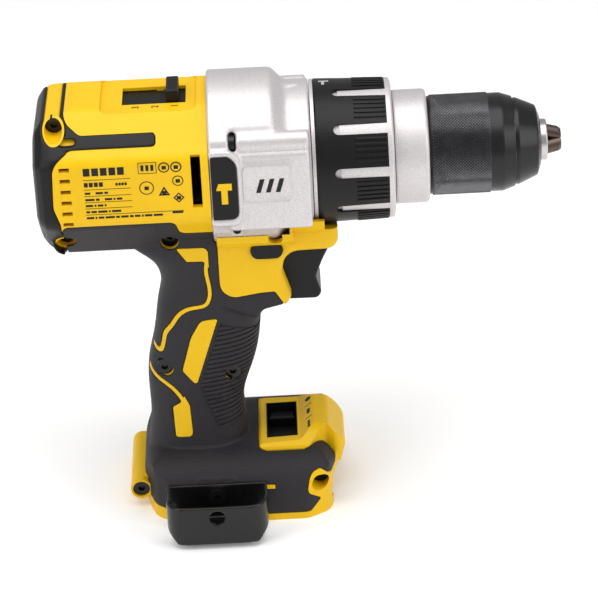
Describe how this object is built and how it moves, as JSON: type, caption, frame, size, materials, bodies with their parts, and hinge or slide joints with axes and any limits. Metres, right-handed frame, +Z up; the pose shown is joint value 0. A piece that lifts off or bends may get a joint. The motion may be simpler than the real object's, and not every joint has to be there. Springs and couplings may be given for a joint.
{
  "type": "cordless drill",
  "caption": "Pistol-grip cordless hammer drill without battery: keyless three-jaw chuck, clutch collar, geared brushless drive, sprung trigger and side belt hook.",
  "frame": {"origin": "centre of the foot on the plane it stands on, in the tool's mid-plane", "axes": "+X along the drive axis towards the chuck, +Z up, +Y to the tool's left"},
  "size_m": [0.2174, 0.095, 0.1925],
  "materials": {
    "yellow_shell": "satin moulded glass-filled nylon",
    "rubber": "matt soft-touch overmould",
    "black_shell": "satin black nylon",
    "cast_metal": "fine cast grain",
    "black_steel": "black coated",
    "chuck_black": "black oxide",
    "steel": "machined",
    "jaw_steel": "hardened, dark",
    "lamination": "laminated",
    "copper": "enamelled copper",
    "brass": "turned",
    "circuit_board": "lacquered",
    "clear_lens": "clear"
  },
  "bodies": {
    "housing": {"housing_right": "yellow_shell", "housing_left": "yellow_shell", "overmould_right": "rubber", "overmould_left": "rubber", "rear_cap": "black_shell", "gear_case": "cast_metal", "case_badges": "black_shell", "closing_screws": "black_steel", "corner_screws": "black_steel", "switch_module": "black_shell", "trigger_spring": "steel", "motor_stator": "lamination", "motor_windings": "copper", "hall_sensor_board": "circuit_board", "motor_bearings": "steel", "motor_mount_plate": "cast_metal", "ring_gear_1": "steel", "fixed_ratchet": "steel", "spindle_bearings": "steel", "side_handle_ring": "cast_metal", "clutch_washer": "steel", "clutch_pins": "steel", "clutch_spring": "steel", "belt_hook": "black_steel", "belt_hook_screw": "black_steel", "hook_inserts": "brass", "terminal_block": "black_shell", "terminal_blades": "brass", "controller_board": "circuit_board", "lamp_lens": "clear_lens"},
    "trigger": {"trigger": "black_shell"},
    "speed_selector": {"speed_selector": "black_shell"},
    "shift_ring": {"shift_ring": "steel"},
    "direction_lever": {"direction_lever": "black_shell"},
    "lamp_mode_switch": {"lamp_mode_switch": "black_shell"},
    "rotor": {"motor_rotor": "lamination", "motor_shaft": "steel", "motor_fan": "black_shell", "sun_pinion": "steel"},
    "carrier_1": {"carrier_1": "steel"},
    "spindle": {"spindle": "steel", "carrier_2": "steel", "spindle_ratchet": "steel", "chuck_body": "steel", "chuck_hood": "chuck_black", "chuck_screw": "steel"},
    "chuck_sleeve": {"chuck_sleeve": "chuck_black", "chuck_nut": "steel"},
    "clutch_collar": {"collar_core": "cast_metal", "collar_grip": "black_shell"},
    "clutch_nut": {"clutch_nut": "steel"},
    "planet_1a": {"planet_gear_1a": "steel"},
    "planet_2a": {"planet_gear_2a": "steel"},
    "jaw_a": {"chuck_jaw_a": "jaw_steel"},
    "planet_1b": {"planet_gear_1b": "steel"},
    "planet_2b": {"planet_gear_2b": "steel"},
    "jaw_b": {"chuck_jaw_b": "jaw_steel"},
    "planet_1c": {"planet_gear_1c": "steel"},
    "planet_2c": {"planet_gear_2c": "steel"},
    "jaw_c": {"chuck_jaw_c": "jaw_steel"}
  },
  "joints": [
    {"name": "spindle_spin", "type": "hinge", "parent": "housing", "child": "spindle", "pos_m": [0.05, 0, 0.1565], "axis": [1, 0, 0], "continuous": true},
    {"name": "rotor_spin", "type": "hinge", "parent": "housing", "child": "rotor", "pos_m": [-0.03, 0, 0.1565], "axis": [1, 0, 0], "continuous": true},
    {"name": "carrier_1_spin", "type": "hinge", "parent": "housing", "child": "carrier_1", "pos_m": [0.007, 0, 0.1565], "axis": [1, 0, 0], "continuous": true},
    {"name": "planet_1a_spin", "type": "hinge", "parent": "carrier_1", "child": "planet_1a", "pos_m": [0.0026, 0, 0.1685], "axis": [1, 0, 0], "continuous": true},
    {"name": "planet_2a_spin", "type": "hinge", "parent": "spindle", "child": "planet_2a", "pos_m": [0.0118, 0, 0.1697], "axis": [1, 0, 0], "continuous": true},
    {"name": "planet_1b_spin", "type": "hinge", "parent": "carrier_1", "child": "planet_1b", "pos_m": [0.0026, -0.01039, 0.1505], "axis": [1, 0, 0], "continuous": true},
    {"name": "planet_2b_spin", "type": "hinge", "parent": "spindle", "child": "planet_2b", "pos_m": [0.0118, -0.01143, 0.1499], "axis": [1, 0, 0], "continuous": true},
    {"name": "planet_1c_spin", "type": "hinge", "parent": "carrier_1", "child": "planet_1c", "pos_m": [0.0026, 0.01039, 0.1505], "axis": [1, 0, 0], "continuous": true},
    {"name": "planet_2c_spin", "type": "hinge", "parent": "spindle", "child": "planet_2c", "pos_m": [0.0118, 0.01143, 0.1499], "axis": [1, 0, 0], "continuous": true},
    {"name": "chuck_sleeve_turn", "type": "hinge", "parent": "spindle", "child": "chuck_sleeve", "pos_m": [0.1, 0, 0.1565], "axis": [1, 0, 0], "range_deg": [0, 3690]},
    {"name": "jaw_a_slide", "type": "slide", "parent": "spindle", "child": "jaw_a", "axis": [-0.9659, 0, 0.2588], "range_m": [0, 0.0205]},
    {"name": "jaw_b_slide", "type": "slide", "parent": "spindle", "child": "jaw_b", "axis": [-0.9659, -0.2241, -0.1294], "range_m": [0, 0.0205]},
    {"name": "jaw_c_slide", "type": "slide", "parent": "spindle", "child": "jaw_c", "axis": [-0.9659, 0.2241, -0.1294], "range_m": [0, 0.0205]},
    {"name": "clutch_collar_turn", "type": "hinge", "parent": "housing", "child": "clutch_collar", "pos_m": [0.05, 0, 0.1565], "axis": [1, 0, 0], "range_deg": [0, 300]},
    {"name": "clutch_nut_slide", "type": "slide", "parent": "clutch_collar", "child": "clutch_nut", "axis": [-1, 0, 0], "range_m": [0, 0.005], "deforming": ["clutch_spring"]},
    {"name": "speed_selector_slide", "type": "slide", "parent": "housing", "child": "speed_selector", "axis": [1, 0, 0], "range_m": [-0.0154, 0]},
    {"name": "shift_ring_slide", "type": "slide", "parent": "housing", "child": "shift_ring", "axis": [1, 0, 0], "range_m": [-0.0051, 0]},
    {"name": "direction_lever_slide", "type": "slide", "parent": "housing", "child": "direction_lever", "axis": [0, 1, 0], "range_m": [-0.0032, 0.0032]},
    {"name": "lamp_mode_slide", "type": "slide", "parent": "housing", "child": "lamp_mode_switch", "axis": [0, -1, 0], "range_m": [0, 0.009]},
    {"name": "trigger_slide", "type": "slide", "parent": "housing", "child": "trigger", "axis": [-1, 0, 0], "range_m": [0, 0.007], "stiffness_N_per_m": 800, "springref_m": -0.002, "deforming": ["trigger_spring"]}
  ],
  "couplings": [
    {"joint": "rotor_spin", "follows": "spindle_spin", "ratio": 18.333},
    {"joint": "carrier_1_spin", "follows": "spindle_spin", "ratio": 3.6667},
    {"joint": "planet_1a_spin", "follows": "spindle_spin", "ratio": -9.7778},
    {"joint": "planet_2a_spin", "follows": "spindle_spin", "ratio": -3.2},
    {"joint": "planet_1b_spin", "follows": "spindle_spin", "ratio": -9.7778},
    {"joint": "planet_2b_spin", "follows": "spindle_spin", "ratio": -3.2},
    {"joint": "planet_1c_spin", "follows": "spindle_spin", "ratio": -9.7778},
    {"joint": "planet_2c_spin", "follows": "spindle_spin", "ratio": -3.2},
    {"joint": "jaw_a_slide", "follows": "chuck_sleeve_turn", "m_per_rad": 0.00031831},
    {"joint": "jaw_b_slide", "follows": "chuck_sleeve_turn", "m_per_rad": 0.00031831},
    {"joint": "jaw_c_slide", "follows": "chuck_sleeve_turn", "m_per_rad": 0.00031831},
    {"joint": "clutch_nut_slide", "follows": "clutch_collar_turn", "m_per_rad": 0.00095493},
    {"joint": "shift_ring_slide", "follows": "speed_selector_slide", "ratio": 0.33117}
  ]
}
